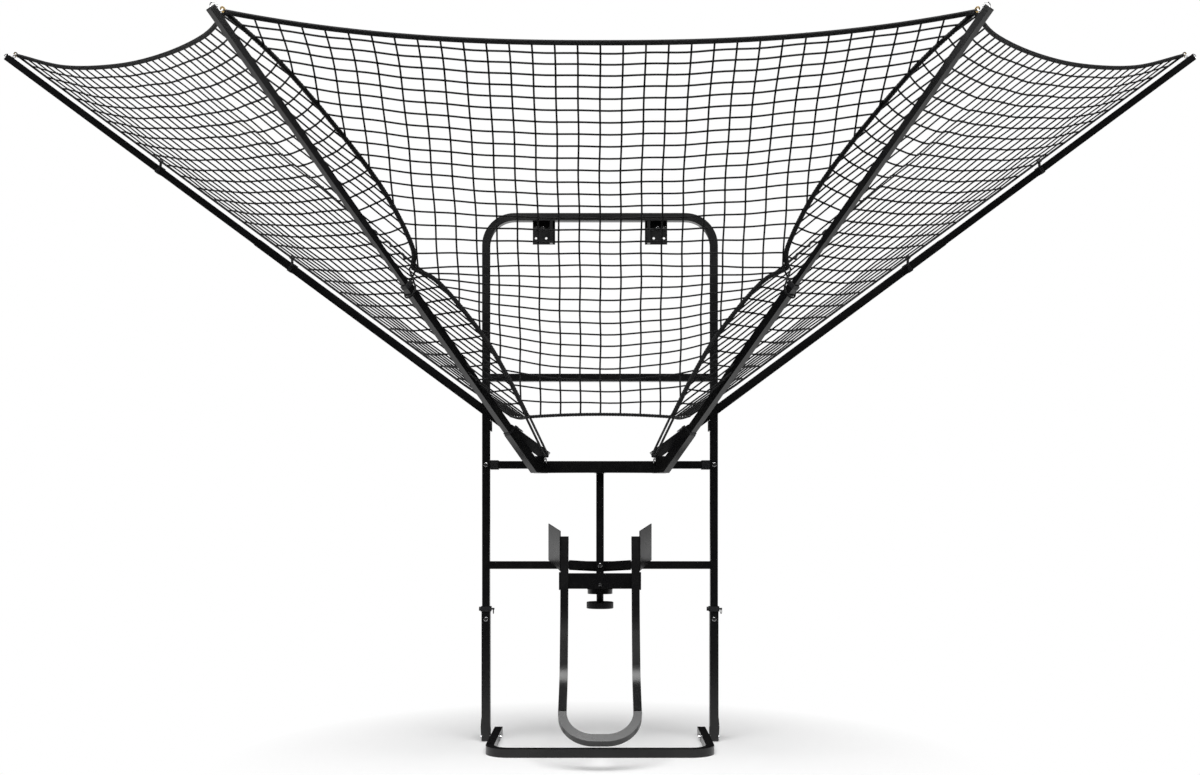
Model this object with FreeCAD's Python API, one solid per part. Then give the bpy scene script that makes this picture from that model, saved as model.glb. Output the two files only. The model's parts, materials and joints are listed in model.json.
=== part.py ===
"""Shot return stand: tube frame on a folding floor base, funnel net on four arms, swivel ramp.

Millimetres. +X to the right, -Y towards the player, +Z up. The origin is on the floor, under
the middle of the base's front bar.
"""
import FreeCAD
import Part
import math
import os

from FreeCAD import Vector

os.makedirs("parts", exist_ok=True)

# General sizes
GAP = 0.3            # clearance of a loose fit, each side
RUN = 0.05           # radial clearance of a turning fit
TUBE = 28.0          # frame tube, outside
WALL = 1.6           # frame tube wall
BOLT_R = 4.0         # frame bolt shank radius
HEAD_R = 8.0         # frame bolt head radius
HEAD_H = 4.5         # frame bolt head height

# Upright frame
FRAME_Y = 300.0      # frame plane behind the base's front bar
POST_X = 422.0       # post centre from the middle
FRAME_TOP = 1955.0   # top of the top tube
FRAME_BEND = 106.0   # bend radius of the tube's centre line
BAR_A_Z = 1347.0     # upper crossbar
BAR_B_Z = 1024.0     # middle crossbar, which carries the arms
BAR_C_Z = 653.0      # lower crossbar
COLLAR_B_LENGTH = 30.0
COLLAR_WALL = 2.6    # wall of the crossbar end collars
GUSSET = [(-115.0, 634.0), (0.0, 628.0), (115.0, 634.0), (115.0, 671.0), (0.0, 664.0), (-115.0, 671.0)]
GUSSET_T = 4.0       # shallow V plate behind the lower crossbar

HANGER_LEFT = -250.0               # outer edge of a top bracket's plate
HANGER_RIGHT = -167.0
HANGER_LOW = 1845.0
HANGER_T = 4.0
HANGER_FLANGE = (-186.0, -175.0)   # sides of the bracket's forward flange
HANGER_X = (-238.0, -200.0)        # free holes of a top bracket
HANGER_Z = 1868.0
HANGER_R = 4.5
HANGER_BOLT_X = (-236.0, -214.0)   # bolts of a top bracket
HANGER_BOLT_Z = 1905.0

# Lower legs
LEG = 32.0           # leg tube, outside
LEG_BOTTOM = 3.0
LEG_TOP = 482.0
LEG_OVERLAP = 210.0  # length of post inside the leg
LOCK_Z = 491.0       # lock pin through leg collar and post
STOP_Z = 454.0       # chrome stop bolt
LEG_COLLAR_H = 18.0
LEG_COLLAR = 38.0    # leg collar, outside
LOCK_PIN_R = 3.5

# Floor base
BASE_TUBE = 30.0
BASE_WALL = 2.0
BASE_X = 387.0       # side tube centre from the middle
BASE_BEND = 72.0     # bend radius of the centre line
BASE_BACK = 435.0    # rear end of the side tubes
PIVOT_Z = 15.0       # base pivot, at the height of the tube's axis
PIVOT_R = 5.0
CAP_T = 4.0          # end cap thickness
CAP_PLUG = 15.0      # depth of the caps' plugs

# Wheels behind the legs
WHEEL_R = 40.0
WHEEL_W = 18.0
WHEEL_X = 436.0
WHEEL_BACK = 62.0    # wheel axle behind the frame plane
WHEEL_FLOOR = 4.0    # clearance under the wheel
AXLE_R = 5.0
WHEEL_BRACKET = (5.0, 74.0, 40.0)   # thickness, reach behind the leg and height

# Ball ramp
RAMP_X = 125.0       # rail centre from the middle
RAIL = 28.0
RAIL_PATH = [(97.0, 760.0), (48.0, 470.0), (-25.0, 272.0), (-159.0, 178.0)]   # Y and Z
RAIL_BENDS = [420.0, 150.0]
LOOP_TUBE = 29.0     # return loop tube, a little wider than the rails
LOOP_DROP = 44.0     # slope of the return loop, degrees below level
LOOP_REACH = 107.0   # front of the loop's centre line, along its slope
LOOP_BEND = 104.0    # corner radius of the loop's centre line
CROSS_LOW = 578.0
CROSS_HIGH = 633.0
PLATE = 6.0          # cross plate and carrier plate thickness
CHEEK_T = 5.0        # plates on the rails' outer sides at the cross plate
CHEEK_LIP = 3.0
SQUARE_HOLE = 10.0   # in the cross plate, under its top edge
GUIDE_T = 3.0
GUIDE_FLARE = 46.0   # how far a guide spreads to the back
GUIDE_DEPTH = 120.0
GUIDE_FRONT_Y = 100.0
GUIDE_TOP_FRONT = 781.0
GUIDE_TOP_BACK = 807.0
GUIDE_LOW_FRONT = 640.0
GUIDE_LOW_BACK = 674.0
GUIDE_LAP = 72.0     # front edge of the flange on the rail's side
CENTRE_POST = 28.0
POST_WALL = 2.0
SWIVEL_R = 8.0       # swivel bolt radius
CARRIER_TOP = 582.0  # top face of the carrier plate
CARRIER_W = 90.0
WASHER_T = 3.0
DISC_R = 46.0
DISC_H = 24.0
KNOB_R = 49.5
KNOB_H = 24.0
KNOB_GAP = 30.0      # stem length between the two discs
KNOB_HUB_R = 13.0

# Arm carrier on the middle crossbar
CARRIER_X = 205.0    # end of the curved strap
STRAP_LOW = 992.0
STRAP_HIGH = 1025.0
STRAP_T = 6.0
STRAP_BOW = 22.0     # how far the strap bows forward
STRAP_Y = 246.0      # strap end, behind the bow
SOCKET = 34.0        # front socket tube, outside
SOCKET_LENGTH = 205.0
REAR_SOCKET = 35.0
REAR_SOCKET_LENGTH = 150.0
REAR_PIN_INSET = 22.0   # lock pin from the rear socket's mouth
SADDLE = 38.0        # block that joins the two sockets of one side
SADDLE_Y = 240.0     # front of the block
SADDLE_H = 62.0
STRAP_EAR = 22.0     # width of the strap's returned ends
BRIDGE = 40.0        # width of the lug from the strap's middle to the crossbar
BRIDGE_T = 4.0

# Arms: a base point and a tip for the left side, mirrored for the right
FRONT_BASE = (-221.0, 250.0, 987.0)
FRONT_TIP = (-1134.0, -650.0, 2313.0)
ARM_SEAT = 36.0      # lower end of the front arm in its socket, along the arm
ARM_LOWER = 28.0
ARM_LOWER_WALL = 2.0
ARM_UPPER = 22.5
ARM_WALL = 1.6
JOINER_LOW = 844.0   # mouth of the lower tube, along the arm
JOINER_HIGH = 1028.0
JOINER_GRIP = 90.0   # joiner length inside each tube
ARM_ROLL = 0.0       # turn of the front arm's tube about its length, degrees
REAR_BASE = (-221.0, 294.0, 1073.0)
REAR_TIP = (-2393.0, 702.0, 2687.0)
REAR_INNER = 28.6
REAR_OUTER = 25.4
REAR_STEP = 1395.0   # where the outer tube leaves the inner one
REAR_GRIP = 110.0
CLIPS = (1215.0, 1905.0)   # net clips along the rear arm
REST_LOW = 1150.0
REST_HIGH = 1188.0

# Net corners, left side
TOP_CORNER = (-1105.0, -612.0, 2318.0)
SEAM_BEND = (-811.0, -290.0, 2036.0)
TIE_POINT = (-628.0, -120.0, 1666.0)
BELLY = (-365.0, -140.0, 1632.0)
LOW_INNER = (-246.0, -60.0, 1171.0)
LOW_OUTER = (-326.0, 262.0, 1201.0)
POST_CORNER = (-500.0, 275.0, 1318.0)
OUTER_CORNER = (-2350.0, 690.0, 2693.0)
NET_T = 4.0          # cord thickness of the net
CORD = 6.0           # cord width in the net
ROWS = 86.0          # net cell, down the net: every second row is drawn
COLUMNS = 143.0      # net cell, across the net: every second column is drawn
TOP_SAG = 85.0
SAG_AIM = (0.0, 14.0, 0.0)   # floor point that the top border sags towards
OUTER_SAG = 150.0
SEAM_R = 8.5
BALL_PROUD = 0.15    # a cord's ball over its radius
BORDER_R = 6.5
EDGE_R = 4.0
GROMMET_R = 9.0
GROMMET_BORE = 5.0
GROMMET_T = 3.0
FAR_SETBACK = 1.1    # extra room between an outer border's slanted end and its grommet
RING_WIRE = 1.6
RING_R = 13.0
STRAP_RING_IN = 8.0  # bottom strap's ring, inwards from the carrier's end
PIN_RING_R = 15.0    # wire ring of an arm's lock pin
PIN_RING_LIFT = 3.5  # its height over the pin's seat
LEG_RING_R = 9.5     # wire ring of a leg's lock pin
LEG_RING_INSET = 4.0
PIN_WIRE = 1.2
STRAP_R = 3.0        # bottom strap cord
TIE_R = 3.0
CLIP_WALL = 2.5
CLIP_HALF = 8.0      # half the length of a clip's sleeves
CLIP_NECK_R = 5.0
CREASE = 0.9         # half the slit where two flats of one panel meet
SMALLEST_CELL = 260.0   # square millimetres, below which a cell stays closed


X = Vector(1, 0, 0)
Y = Vector(0, 1, 0)
Z = Vector(0, 0, 1)
HALF = TUBE / 2


def vec(point):
    return Vector(point[0], point[1], point[2])


def save(name, *solids):
    """Write one node; several solids become a group."""
    shape = solids[0] if len(solids) == 1 else Part.makeCompound(list(solids))
    shape.exportStep("parts/%s.step" % name)
    return shape


def rod(start, end, radius):
    run = end - start
    return Part.makeCylinder(radius, run.Length, start, run)


def ring(centre, axis, radius, wire):
    """Closed round wire ring about an axis."""
    return Part.makeTorus(radius, wire, centre, axis)


def washer(start, axis, outer, inner, thickness):
    body = Part.makeCylinder(outer, thickness, start, axis)
    return body.cut(Part.makeCylinder(inner, thickness * 3, start - axis * thickness, axis))


def bolt(start, axis, length, radius=BOLT_R, head_r=HEAD_R, head_h=HEAD_H):
    """Round-headed bolt: the head's underside is at start and the shank runs along axis."""
    head = Part.makeCylinder(head_r, head_h, start - axis * head_h, axis)
    outer_rim = min((edge for edge in head.Edges if edge.Closed), key=lambda edge: edge.CenterOfMass.dot(axis))
    head = head.makeFillet(head_h * 0.35, [outer_rim])
    return head.fuse(Part.makeCylinder(radius, length, start, axis)).removeSplitter()


def drilled(shape, points, axis, radius, reach=200.0):
    for point in points:
        shape = shape.cut(Part.makeCylinder(radius, 2 * reach, point - axis * reach, axis))
    return shape


def placed(shape, origin, x_axis, z_axis):
    """Move a shape from its own axes to an origin with the given X and Z directions."""
    z = Vector(z_axis).normalize()
    x = Vector(x_axis) - z * Vector(x_axis).dot(z)
    x.normalize()
    y = z.cross(x)
    matrix = FreeCAD.Matrix(x.x, y.x, z.x, origin.x, x.y, y.y, z.y, origin.y,
                            x.z, y.z, z.z, origin.z, 0, 0, 0, 1)
    moved = shape.copy()
    moved.Placement = FreeCAD.Placement(matrix).multiply(moved.Placement)
    return moved


def straight_tube(start, end, side, wall=None, roll=0.0):
    """Square tube between two points; wall None gives a solid bar."""
    run = end - start
    level = Z.cross(run)
    if level.Length < 0.001:
        level = X
    body = Part.makeBox(side, side, run.Length, Vector(-side / 2, -side / 2, 0))
    if wall:
        bore = side - 2 * wall
        body = body.cut(Part.makeBox(bore, bore, run.Length + 2, Vector(-bore / 2, -bore / 2, -1)))
    body.rotate(Vector(), Vector(0, 0, 1), roll)
    return placed(body, start, level, run)


def bent_face(points, bends, half, extend=0.0):
    """Flat strip of width 2 * half along a bent centre line in the XY plane."""
    line = [Vector(p[0], p[1], 0) for p in points]
    line[0] = line[0] + (line[0] - line[1]).normalize() * extend
    line[-1] = line[-1] + (line[-1] - line[-2]).normalize() * extend
    across = Vector(0, 0, 1)
    edges = []
    ends = []
    for side in (half, -half):
        heading = (line[1] - line[0]).normalize()
        last = line[0] + across.cross(heading) * side
        ends.append(last)
        for here, after, bend in zip(line[1:-1], line[2:], bends):
            onward = (after - here).normalize()
            turn = heading.getAngle(onward)
            left = 1 if heading.cross(onward).z > 0 else -1
            reach = bend * math.tan(turn / 2)
            enter = here - heading * reach
            centre = enter + across.cross(heading) * left * bend
            leave = here + onward * reach
            middle = centre + (here - centre).normalize() * (bend - left * side)
            first = enter + across.cross(heading) * side
            second = leave + across.cross(onward) * side
            if (first - last).Length > 0.001:
                edges.append(Part.LineSegment(last, first).toShape())
            edges.append(Part.Arc(first, middle, second).toShape())
            last = second
            heading = onward
        final = line[-1] + across.cross(heading) * side
        if (final - last).Length > 0.001:
            edges.append(Part.LineSegment(last, final).toShape())
        ends.append(final)
    edges.append(Part.LineSegment(ends[0], ends[2]).toShape())
    edges.append(Part.LineSegment(ends[1], ends[3]).toShape())
    return Part.Face(Part.Wire(Part.__sortEdges__(edges)))


def bent_tube(points, bends, side, wall):
    """Square tube along a bent centre line in the XY plane, centred on it."""
    body = bent_face(points, bends, side / 2).extrude(Vector(0, 0, side))
    bore = side - 2 * wall
    hollow = bent_face(points, bends, bore / 2, 1.0).extrude(Vector(0, 0, bore))
    hollow.translate(Vector(0, 0, wall))
    body = body.cut(hollow)
    body.translate(Vector(0, 0, -side / 2))
    return body


def mirrored(shape):
    return shape.mirror(Vector(), Vector(1, 0, 0))


def pair(shape):
    return [shape, mirrored(shape)]


def floor_base():
    """U-shaped floor tube with capped rear ends, drilled for the pivot bolts."""
    path = [(-BASE_X, BASE_BACK), (-BASE_X, 0), (BASE_X, 0), (BASE_X, BASE_BACK)]
    tube = bent_tube(path, [BASE_BEND, BASE_BEND], BASE_TUBE, BASE_WALL)
    tube.translate(Vector(0, 0, BASE_TUBE / 2))
    pivots = [Vector(side * BASE_X, FRAME_Y, PIVOT_Z) for side in (-1, 1)]
    tube = drilled(tube, pivots, X, PIVOT_R + RUN, 60)
    cap = Part.makeBox(BASE_TUBE, CAP_T, BASE_TUBE, Vector(-BASE_X - BASE_TUBE / 2, BASE_BACK, 0))
    plug = BASE_TUBE - 2 * BASE_WALL - 2 * GAP
    corner = Vector(-BASE_X - plug / 2, BASE_BACK - CAP_PLUG, (BASE_TUBE - plug) / 2)
    cap = cap.fuse(Part.makeBox(plug, CAP_PLUG, plug, corner))
    save("base_frame", tube)
    save("base_end_caps", *pair(cap))


def lower_legs():
    """Leg tubes, their collars, stop bolts, pivot bolts with spacers, wheel brackets and axles."""
    wheel_y = FRAME_Y + WHEEL_BACK
    wheel_z = WHEEL_R + WHEEL_FLOOR
    inner_x = -WHEEL_X + WHEEL_W / 2 + 2
    foot = Vector(-POST_X, FRAME_Y, LEG_BOTTOM)
    head = Vector(-POST_X, FRAME_Y, LEG_TOP)
    tube = straight_tube(foot, head, LEG, WALL)
    bracket = Part.makeBox(*WHEEL_BRACKET, Vector(inner_x, FRAME_Y + LEG / 2, wheel_z - WHEEL_BRACKET[2] / 2))
    tube = tube.fuse(bracket).removeSplitter()
    tube = drilled(tube, [Vector(-POST_X, FRAME_Y, PIVOT_Z)], X, PIVOT_R + GAP / 2, 30)
    tube = drilled(tube, [Vector(-POST_X, FRAME_Y, STOP_Z)], Y, BOLT_R + GAP / 2, 60)
    tube = drilled(tube, [Vector(inner_x, wheel_y, wheel_z)], X, AXLE_R + GAP / 2, 20)
    save("left_lower_leg", tube)
    save("right_lower_leg", mirrored(tube))

    collar = Part.makeBox(LEG_COLLAR, LEG_COLLAR, LEG_COLLAR_H,
                          Vector(-POST_X - LEG_COLLAR / 2, FRAME_Y - LEG_COLLAR / 2, LEG_TOP))
    bore = TUBE + 2 * GAP
    collar = collar.cut(Part.makeBox(bore, bore, 60, Vector(-POST_X - bore / 2, FRAME_Y - bore / 2, LEG_TOP - 5)))
    collar = drilled(collar, [Vector(-POST_X, FRAME_Y, LOCK_Z)], X, LOCK_PIN_R + GAP, 60)
    save("leg_collars", *pair(collar))

    stop = bolt(Vector(-POST_X, FRAME_Y - LEG / 2, STOP_Z), Y, LEG + 8)
    nut = Part.makeCylinder(HEAD_R, 6, Vector(-POST_X, FRAME_Y + LEG / 2 + GAP, STOP_Z), Y)
    nut = nut.cut(Part.makeCylinder(BOLT_R + GAP / 2, 20, Vector(-POST_X, FRAME_Y + 5, STOP_Z), Y))
    save("leg_stop_bolts", *(pair(stop) + pair(nut)))

    outside = Vector(-POST_X - LEG / 2, FRAME_Y, PIVOT_Z)
    shank = LEG + (POST_X - LEG / 2 - BASE_X - BASE_TUBE / 2) + BASE_TUBE + 8
    pivot = bolt(outside, X, shank, PIVOT_R, 9.0, 5.0)
    gap = POST_X - LEG / 2 - BASE_X - BASE_TUBE / 2
    spacer = washer(Vector(-POST_X + LEG / 2 + GAP / 2, FRAME_Y, PIVOT_Z), X, 11.0, PIVOT_R + GAP / 2, gap - GAP)
    end_nut = washer(Vector(-BASE_X + BASE_TUBE / 2 + GAP, FRAME_Y, PIVOT_Z), X, 9.0, PIVOT_R + GAP / 2, 6.0)
    save("base_pivot_bolts", *(pair(pivot) + pair(spacer) + pair(end_nut)))

    start = Vector(-WHEEL_X - WHEEL_W / 2 - 1.0, wheel_y, wheel_z)
    axle = bolt(start, X, WHEEL_W + 12, AXLE_R, 9.0, 3.0)
    save("wheel_axles", *pair(axle))
    wheel = Part.makeCylinder(WHEEL_R, WHEEL_W, Vector(-WHEEL_X - WHEEL_W / 2, wheel_y, wheel_z), X)
    rims = [edge for edge in wheel.Edges if edge.Closed and edge.Length > 200]
    wheel = wheel.makeFillet(4.0, rims)
    wheel = wheel.cut(Part.makeCylinder(AXLE_R + RUN, 60, Vector(-WHEEL_X - 30, wheel_y, wheel_z), X))
    save("left_wheel", wheel)
    save("right_wheel", mirrored(wheel))


def lock_pin(start, axis, length, radius):
    """Push pin with a flat knob at its start."""
    knob = Part.makeCylinder(radius * 2.2, 7, start - axis * 7, axis)
    shank = Part.makeCylinder(radius, length, start, axis)
    return knob.fuse(shank).removeSplitter()


def leg_lock_pins():
    """Both pins go in from the left, so both knobs are on the left of their leg."""
    for name, x in (("left", -POST_X), ("right", POST_X)):
        start = Vector(x - LEG_COLLAR / 2 - GAP, FRAME_Y, LOCK_Z)
        length = LEG_COLLAR + 12
        pin = lock_pin(start, X, length, LOCK_PIN_R)
        end = start + X * (length - LEG_RING_INSET)
        wire = ring(end - Z * (LEG_RING_R - 1), X + Y * 0.2, LEG_RING_R, PIN_WIRE)
        save(name + "_leg_pin", pin.fuse(wire))


def upright_frame():
    """Inverted U tube, three crossbars, end collars and their bolts."""
    low = LEG_TOP - LEG_OVERLAP
    high = FRAME_TOP - HALF
    path = [(-POST_X, low), (-POST_X, high), (POST_X, high), (POST_X, low)]
    tube = placed(bent_tube(path, [FRAME_BEND, FRAME_BEND], TUBE, WALL), Vector(0, FRAME_Y, 0), X, -Y)
    locks = [Vector(side * POST_X, FRAME_Y, LOCK_Z) for side in (-1, 1)]
    tube = drilled(tube, locks, X, LOCK_PIN_R + GAP, 40)
    bolts = [Vector(side * POST_X, FRAME_Y, z) for side in (-1, 1) for z in (STOP_Z, BAR_B_Z)]
    tube = drilled(tube, bolts, Y, BOLT_R + GAP / 2, 40)
    save("upper_frame", tube)

    reach = POST_X - HALF
    for name, z in (("upper_crossbar", BAR_A_Z), ("middle_crossbar", BAR_B_Z), ("lower_crossbar", BAR_C_Z)):
        bar = straight_tube(Vector(-reach, FRAME_Y, z), Vector(reach, FRAME_Y, z), TUBE, WALL)
        if z == BAR_C_Z:
            bar = drilled(bar, [Vector(0, FRAME_Y, z)], Y, BOLT_R + GAP / 2, 60)
        if z == BAR_B_Z:
            ends = [Vector(side * CARRIER_X, FRAME_Y, z) for side in (-1, 1)]
            bar = drilled(bar, ends, Y, BOLT_R + GAP / 2, 60)
        save(name, bar)
    start = Vector(-reach + 2, FRAME_Y, BAR_B_Z)
    bore = TUBE + 2 * GAP
    collar = straight_tube(start, start + X * COLLAR_B_LENGTH, bore + 2 * COLLAR_WALL, COLLAR_WALL)
    save("crossbar_collars", *pair(collar))
    post_bolt = bolt(Vector(-POST_X, FRAME_Y - HALF, BAR_B_Z), Y, TUBE + 8)
    post_nut = washer(Vector(-POST_X, FRAME_Y + HALF + GAP, BAR_B_Z), Y, HEAD_R, BOLT_R + GAP / 2, 5.0)

    corners = [Vector(x, FRAME_Y + HALF, z) for x, z in GUSSET]
    gusset = flat_face(corners).extrude(Y * GUSSET_T)
    gusset = drilled(gusset, [Vector(0, FRAME_Y, BAR_C_Z)], Y, BOLT_R + GAP / 2, 60)
    save("crossbar_gusset", gusset)
    return pair(post_bolt) + pair(post_nut)


def top_brackets():
    """Hanger plates behind the top tube, each with a forward flange and two bolts."""
    back = FRAME_Y + HALF
    plate = Part.makeBox(HANGER_RIGHT - HANGER_LEFT, HANGER_T, FRAME_TOP - HANGER_LOW,
                         Vector(HANGER_LEFT, back, HANGER_LOW))
    left, right = HANGER_FLANGE
    flange = Part.makeBox(right - left, TUBE + HANGER_T, FRAME_TOP - TUBE - HANGER_LOW - GAP,
                          Vector(left, back - TUBE, HANGER_LOW))
    holes = [Vector(x, FRAME_Y, HANGER_Z) for x in HANGER_X]
    seats = [Vector(x, FRAME_Y, HANGER_BOLT_Z) for x in HANGER_BOLT_X]
    plate = drilled(plate.fuse(flange).removeSplitter(), holes, Y, HANGER_R, 60)
    plate = drilled(plate, seats, Y, BOLT_R + GAP / 2, 60)
    save("top_brackets", *pair(plate))
    bolts = []
    for x in HANGER_BOLT_X:
        bolts += pair(bolt(Vector(x, back, HANGER_BOLT_Z), Y, HANGER_T + 10))
    return bolts


def arm_rests():
    """Plates on the posts' inner sides that carry the rear arms where they pass behind."""
    base = vec(REAR_BASE)
    run = vec(REAR_TIP) - base
    plate = Part.makeBox(5, 52, REST_HIGH - REST_LOW, Vector(-POST_X + HALF, FRAME_Y - HALF, REST_LOW))
    plate = plate.cut(straight_tube(base, base + run * 0.4, REAR_INNER + 2 * GAP))
    pieces = sorted(plate.Solids, key=lambda solid: solid.Volume)
    save("arm_rest_plates", *pair(pieces[-1]))


SWIVEL_Y = FRAME_Y - HALF - CENTRE_POST / 2


def centre_post():
    """Post from the arm carrier's strap down to the ramp swivel, bolted to the lower crossbar."""
    y = SWIVEL_Y
    low = CARRIER_TOP + GAP / 2
    post = straight_tube(Vector(0, y, low), Vector(0, y, STRAP_LOW), CENTRE_POST, POST_WALL)
    inner = CENTRE_POST - 2 * POST_WALL
    foot = Part.makeBox(inner, inner, 30, Vector(-inner / 2, y - inner / 2, low))
    foot = foot.cut(Part.makeCylinder(SWIVEL_R + RUN, 60, Vector(0, y, low - 5), Z))
    post = post.fuse(foot).removeSplitter()
    post = drilled(post, [Vector(0, y, BAR_C_Z)], Y, BOLT_R + GAP / 2, 60)
    save("centre_post", post)
    head = Vector(0, y - CENTRE_POST / 2, BAR_C_Z)
    return [bolt(head, Y, CENTRE_POST + TUBE + 10)]


def arm_carrier():
    """Curved strap with returned ends clamped on the middle crossbar, and four arm sockets."""
    front = STRAP_Y
    middle = front - STRAP_BOW
    outer = Part.Arc(Vector(-CARRIER_X, front, 0), Vector(0, middle, 0), Vector(CARRIER_X, front, 0))
    inner = Part.Arc(Vector(-CARRIER_X, front + STRAP_T, 0), Vector(0, middle + STRAP_T, 0),
                     Vector(CARRIER_X, front + STRAP_T, 0))
    sides = [Part.LineSegment(Vector(side * CARRIER_X, front, 0),
                              Vector(side * CARRIER_X, front + STRAP_T, 0)).toShape() for side in (-1, 1)]
    wire = Part.Wire(Part.__sortEdges__([outer.toShape(), inner.toShape()] + sides))
    strap = Part.Face(wire).extrude(Vector(0, 0, STRAP_HIGH - STRAP_LOW))
    strap.translate(Vector(0, 0, STRAP_LOW))
    back = FRAME_Y - HALF
    ears = []
    for side in (-1, 1):
        left = side * CARRIER_X - STRAP_EAR / 2
        ears.append(Part.makeBox(STRAP_EAR, back - front, STRAP_HIGH - STRAP_LOW, Vector(left, front, STRAP_LOW)))
    strap = strap.multiFuse(ears).removeSplitter()
    bridge = Part.makeBox(BRIDGE, back - middle, BRIDGE_T, Vector(-BRIDGE / 2, middle + STRAP_T / 2, STRAP_LOW))
    strap = strap.fuse(bridge).removeSplitter()

    base = vec(FRONT_BASE)
    along = (vec(FRONT_TIP) - base).normalize()
    rear_base = vec(REAR_BASE)
    rear_along = (vec(REAR_TIP) - rear_base).normalize()
    bore = ARM_LOWER + 2 * GAP
    front_socket = straight_tube(base - along * 60, base + along * SOCKET_LENGTH, SOCKET, None, ARM_ROLL)
    front_bore = straight_tube(base + along * (ARM_SEAT - GAP), base + along * (SOCKET_LENGTH + 10), bore,
                               None, ARM_ROLL)
    below_strap = Part.makeBox(400, 400, 200, Vector(-500, 50, STRAP_LOW - 200))
    front_socket = front_socket.cut(below_strap).cut(front_bore)
    rear_bore = straight_tube(rear_base + rear_along * 10, rear_base + rear_along * (REAR_SOCKET_LENGTH + 10),
                              REAR_INNER + 2 * GAP)
    rear_socket = straight_tube(rear_base - rear_along * 30, rear_base + rear_along * REAR_SOCKET_LENGTH,
                                REAR_SOCKET)
    rear_socket = rear_socket.cut(rear_bore)
    saddle = Part.makeBox(SADDLE, back - SADDLE_Y, SADDLE_H, Vector(-CARRIER_X - SADDLE, SADDLE_Y, STRAP_LOW))
    crossbar_space = Part.makeBox(900, TUBE, TUBE, Vector(-450, back, BAR_B_Z - HALF))
    rear_socket = rear_socket.cut(crossbar_space).cut(front_bore)
    saddle = saddle.cut(front_bore).cut(rear_bore)
    block = saddle.fuse(rear_socket).cut(front_bore).fuse(front_socket)
    block = block.cut(rear_bore).removeSplitter()
    block = sorted(block.Solids, key=lambda solid: solid.Volume)[-1]
    block = block.cut(strap)
    strap = strap.cut(front_bore).cut(mirrored(front_bore))
    pin_at, pin_out = rear_pin_line()
    block = block.cut(rod(pin_at - pin_out * 60, pin_at + pin_out * 60, LOCK_PIN_R + GAP))
    block = sorted(block.Solids, key=lambda solid: solid.Volume)[-1]
    save("arm_carrier_strap", strap)
    save("left_arm_sockets", block)
    save("right_arm_sockets", mirrored(block))

    mouth = base + along * (SOCKET_LENGTH + GAP)
    collar = straight_tube(mouth, mouth + along * 9, SOCKET - 2, None, ARM_ROLL)
    collar = collar.cut(straight_tube(mouth - along, mouth + along * 12, bore, None, ARM_ROLL))
    save("socket_collars", *pair(collar))


def rear_pin_line():
    """Middle of the rear socket's lock pin and the direction that it is pulled out."""
    base = vec(REAR_BASE)
    along = (vec(REAR_TIP) - base).normalize()
    out = along.cross(Z.cross(along)).normalize()
    return base + along * (REAR_SOCKET_LENGTH - REAR_PIN_INSET), out


def front_arm(mirror):
    """Front arm of three square tubes that slide into each other."""
    side = "left" if mirror == 1 else "right"
    base = vec(FRONT_BASE)
    tip = vec(FRONT_TIP)
    along = (tip - base).normalize()
    bore = ARM_LOWER - 2 * ARM_LOWER_WALL
    joiner = ARM_UPPER - 2 * ARM_WALL - 2 * GAP
    lower = straight_tube(base + along * ARM_SEAT, base + along * JOINER_LOW, ARM_LOWER, ARM_LOWER_WALL, ARM_ROLL)
    link = straight_tube(base + along * (JOINER_LOW - JOINER_GRIP), base + along * (JOINER_HIGH + JOINER_GRIP),
                         joiner, ARM_WALL, ARM_ROLL)
    upper = straight_tube(base + along * JOINER_HIGH, tip, ARM_UPPER, ARM_WALL, ARM_ROLL)
    mouth = base + along * (JOINER_LOW - 30)
    bush = straight_tube(mouth, base + along * (JOINER_LOW + GAP), bore - 2 * GAP, None, ARM_ROLL)
    bush = bush.fuse(straight_tube(base + along * (JOINER_LOW + GAP), base + along * (JOINER_LOW + 14),
                                   ARM_LOWER + 2, None, ARM_ROLL)).removeSplitter()
    bush = bush.cut(straight_tube(mouth - along * 5, mouth + along * 90, joiner + 2 * GAP, None, ARM_ROLL))
    for name, shape in (("front_arm_lower", lower), ("front_arm_upper", upper)):
        save("%s_%s" % (side, name), shape if mirror == 1 else mirrored(shape))
    return link, bush


def rear_arm(mirror):
    side = "left" if mirror == 1 else "right"
    base = vec(REAR_BASE)
    tip = vec(REAR_TIP)
    along = (tip - base).normalize()
    wall = (REAR_INNER - REAR_OUTER) / 2 - GAP
    pin_at, pin_out = rear_pin_line()
    inner = straight_tube(base + along * 12, base + along * REAR_STEP, REAR_INNER, wall)
    inner = inner.cut(rod(pin_at - pin_out * 60, pin_at + pin_out * 60, LOCK_PIN_R + GAP))
    outer = straight_tube(base + along * (REAR_STEP - REAR_GRIP), tip, REAR_OUTER, ARM_WALL)
    save(side + "_rear_arm_inner", inner if mirror == 1 else mirrored(inner))
    save(side + "_rear_arm_outer", outer if mirror == 1 else mirrored(outer))


def arm_caps():
    caps = []
    for base, tip, size, roll in ((FRONT_BASE, FRONT_TIP, ARM_UPPER, ARM_ROLL),
                                  (REAR_BASE, REAR_TIP, REAR_OUTER, 0.0)):
        along = (vec(tip) - vec(base)).normalize()
        end = vec(tip)
        plug = size - 2 * ARM_WALL - 2 * GAP
        cap = straight_tube(end, end + along * CAP_T, size, None, roll)
        cap = cap.fuse(straight_tube(end - along * 14, end, plug, None, roll)).removeSplitter()
        caps += pair(cap)
    save("arm_end_caps", *caps)


def sagging(start, end, towards, sag, count):
    """Points on a parabola from start to end that hangs towards a point."""
    middle = (start + end) * 0.5
    run = (end - start).normalize()
    aim = towards - middle
    aim = (aim - run * aim.dot(run)).normalize()
    steps = [i / (count + 1) for i in range(count + 2)]
    return [start + (end - start) * t + aim * (sag * 4 * t * (1 - t)) for t in steps]


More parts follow.
